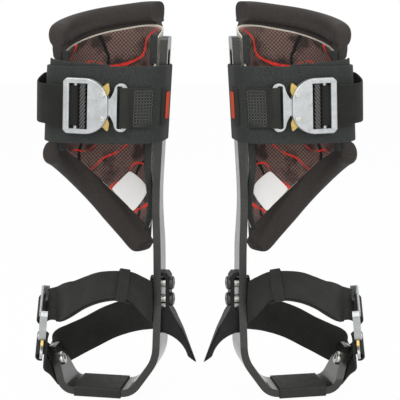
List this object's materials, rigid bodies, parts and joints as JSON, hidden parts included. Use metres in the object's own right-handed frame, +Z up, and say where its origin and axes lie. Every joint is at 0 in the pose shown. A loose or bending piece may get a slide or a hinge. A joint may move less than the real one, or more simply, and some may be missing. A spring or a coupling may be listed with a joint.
{
  "type": "tree climbing spikes",
  "caption": "Pair of pole and tree climbers: bent leg irons with gaffs, padded calf cups on a sliding clamp, buckled webbing foot and calf straps.",
  "frame": {"origin": "on the floor, in the middle between the two climbers", "axes": "+X from the right leg's climber to the left leg's, +Y towards the wearer's heels, +Z up"},
  "size_m": [0.4, 0.1725, 0.4721],
  "materials": {
    "dark_steel": "satin",
    "black_forging": "satin",
    "grip_rubber": "matte",
    "bright_steel": "satin",
    "webbing": "matte",
    "shell_plastic": "matte",
    "neoprene": "matte",
    "lining_mesh": "matte",
    "band_fabric": "matte",
    "cast_aluminium": "satin",
    "clip_brass": "satin"
  },
  "bodies": {
    "right_climber_iron": {"right_leg_iron": "dark_steel", "right_footbed_grip": "grip_rubber", "right_gaff": "black_forging", "right_gaff_bushes": "bright_steel", "right_button_screws": "bright_steel", "right_lock_nuts": "bright_steel", "right_foot_strap": "webbing", "right_stirrup_strap": "webbing", "right_strap_keeper": "webbing", "right_foot_frame": "cast_aluminium", "right_foot_tongue": "cast_aluminium", "right_foot_clip_rivets": "bright_steel", "right_foot_clip_springs": "bright_steel"},
    "right_calf_cup": {"right_calf_shell": "shell_plastic", "right_shank_bracket": "dark_steel", "right_clamp_screws": "bright_steel", "right_calf_pad": "neoprene", "right_pad_lining": "lining_mesh", "right_cuff_band": "band_fabric", "right_calf_strap": "webbing", "right_tongue_strap": "webbing", "right_calf_frame": "cast_aluminium", "right_calf_tongue": "cast_aluminium", "right_calf_clip_rivets": "bright_steel", "right_calf_clip_springs": "bright_steel"},
    "right_calf_clip_upper": {"right_calf_clip_upper": "clip_brass"},
    "right_calf_clip_lower": {"right_calf_clip_lower": "clip_brass"},
    "right_calf_adjuster_bar": {"right_calf_adjuster_bar": "cast_aluminium"},
    "right_foot_clip_upper": {"right_foot_clip_upper": "clip_brass"},
    "right_foot_clip_lower": {"right_foot_clip_lower": "clip_brass"},
    "left_climber_iron": {"left_leg_iron": "dark_steel", "left_footbed_grip": "grip_rubber", "left_gaff": "black_forging", "left_gaff_bushes": "bright_steel", "left_button_screws": "bright_steel", "left_lock_nuts": "bright_steel", "left_foot_strap": "webbing", "left_stirrup_strap": "webbing", "left_strap_keeper": "webbing", "left_foot_frame": "cast_aluminium", "left_foot_tongue": "cast_aluminium", "left_foot_clip_rivets": "bright_steel", "left_foot_clip_springs": "bright_steel"},
    "left_calf_cup": {"left_calf_shell": "shell_plastic", "left_shank_bracket": "dark_steel", "left_clamp_screws": "bright_steel", "left_calf_pad": "neoprene", "left_pad_lining": "lining_mesh", "left_cuff_band": "band_fabric", "left_calf_strap": "webbing", "left_tongue_strap": "webbing", "left_calf_frame": "cast_aluminium", "left_calf_tongue": "cast_aluminium", "left_calf_clip_rivets": "bright_steel", "left_calf_clip_springs": "bright_steel"},
    "left_calf_clip_upper": {"left_calf_clip_upper": "clip_brass"},
    "left_calf_clip_lower": {"left_calf_clip_lower": "clip_brass"},
    "left_calf_adjuster_bar": {"left_calf_adjuster_bar": "cast_aluminium"},
    "left_foot_clip_upper": {"left_foot_clip_upper": "clip_brass"},
    "left_foot_clip_lower": {"left_foot_clip_lower": "clip_brass"}
  },
  "joints": [
    {"name": "right_cup_height", "type": "slide", "parent": "right_climber_iron", "child": "right_calf_cup", "axis": [0.0618, -0.0109, 0.998], "range_m": [-0.012, 0.036]},
    {"name": "right_calf_clip_upper_press", "type": "hinge", "parent": "right_calf_cup", "child": "right_calf_clip_upper", "pos_m": [-0.10737, -0.061, 0.36837], "axis": [0.1736, 0.9848, 0], "range_deg": [0, 14], "stiffness_Nm_per_rad": 0.6},
    {"name": "right_calf_clip_lower_press", "type": "hinge", "parent": "right_calf_cup", "child": "right_calf_clip_lower", "pos_m": [-0.10829, -0.06083, 0.34138], "axis": [-0.1736, -0.9848, 0], "range_deg": [0, 14], "stiffness_Nm_per_rad": 0.6},
    {"name": "right_adjuster_slide", "type": "slide", "parent": "right_calf_cup", "child": "right_calf_adjuster_bar", "axis": [0.9842, -0.1735, -0.0349], "range_m": [0, 0.0024]},
    {"name": "right_foot_clip_upper_press", "type": "hinge", "parent": "right_climber_iron", "child": "right_foot_clip_upper", "pos_m": [-0.18721, -0.02538, 0.07957], "axis": [0.9874, 0.1164, -0.107], "range_deg": [0, 14], "stiffness_Nm_per_rad": 0.6},
    {"name": "right_foot_clip_lower_press", "type": "hinge", "parent": "right_climber_iron", "child": "right_foot_clip_lower", "pos_m": [-0.18915, -0.00019, 0.08909], "axis": [-0.9874, -0.1164, 0.107], "range_deg": [0, 14], "stiffness_Nm_per_rad": 0.6},
    {"name": "left_cup_height", "type": "slide", "parent": "left_climber_iron", "child": "left_calf_cup", "axis": [-0.0618, -0.0109, 0.998], "range_m": [-0.012, 0.036]},
    {"name": "left_calf_clip_upper_press", "type": "hinge", "parent": "left_calf_cup", "child": "left_calf_clip_upper", "pos_m": [0.10737, -0.061, 0.36837], "axis": [0.1736, -0.9848, 0], "range_deg": [0, 14], "stiffness_Nm_per_rad": 0.6},
    {"name": "left_calf_clip_lower_press", "type": "hinge", "parent": "left_calf_cup", "child": "left_calf_clip_lower", "pos_m": [0.10829, -0.06083, 0.34138], "axis": [-0.1736, 0.9848, 0], "range_deg": [0, 14], "stiffness_Nm_per_rad": 0.6},
    {"name": "left_adjuster_slide", "type": "slide", "parent": "left_calf_cup", "child": "left_calf_adjuster_bar", "axis": [-0.9842, -0.1735, -0.0349], "range_m": [0, 0.0024]},
    {"name": "left_foot_clip_upper_press", "type": "hinge", "parent": "left_climber_iron", "child": "left_foot_clip_upper", "pos_m": [0.18721, -0.02538, 0.07957], "axis": [0.9874, -0.1164, 0.107], "range_deg": [0, 14], "stiffness_Nm_per_rad": 0.6},
    {"name": "left_foot_clip_lower_press", "type": "hinge", "parent": "left_climber_iron", "child": "left_foot_clip_lower", "pos_m": [0.18915, -0.00019, 0.08909], "axis": [-0.9874, 0.1164, -0.107], "range_deg": [0, 14], "stiffness_Nm_per_rad": 0.6},
    {"name": "pair_spacing", "type": "slide", "parent": "right_climber_iron", "child": "left_climber_iron", "axis": [1, 0, 0], "range_m": [0, 0.15]}
  ]
}
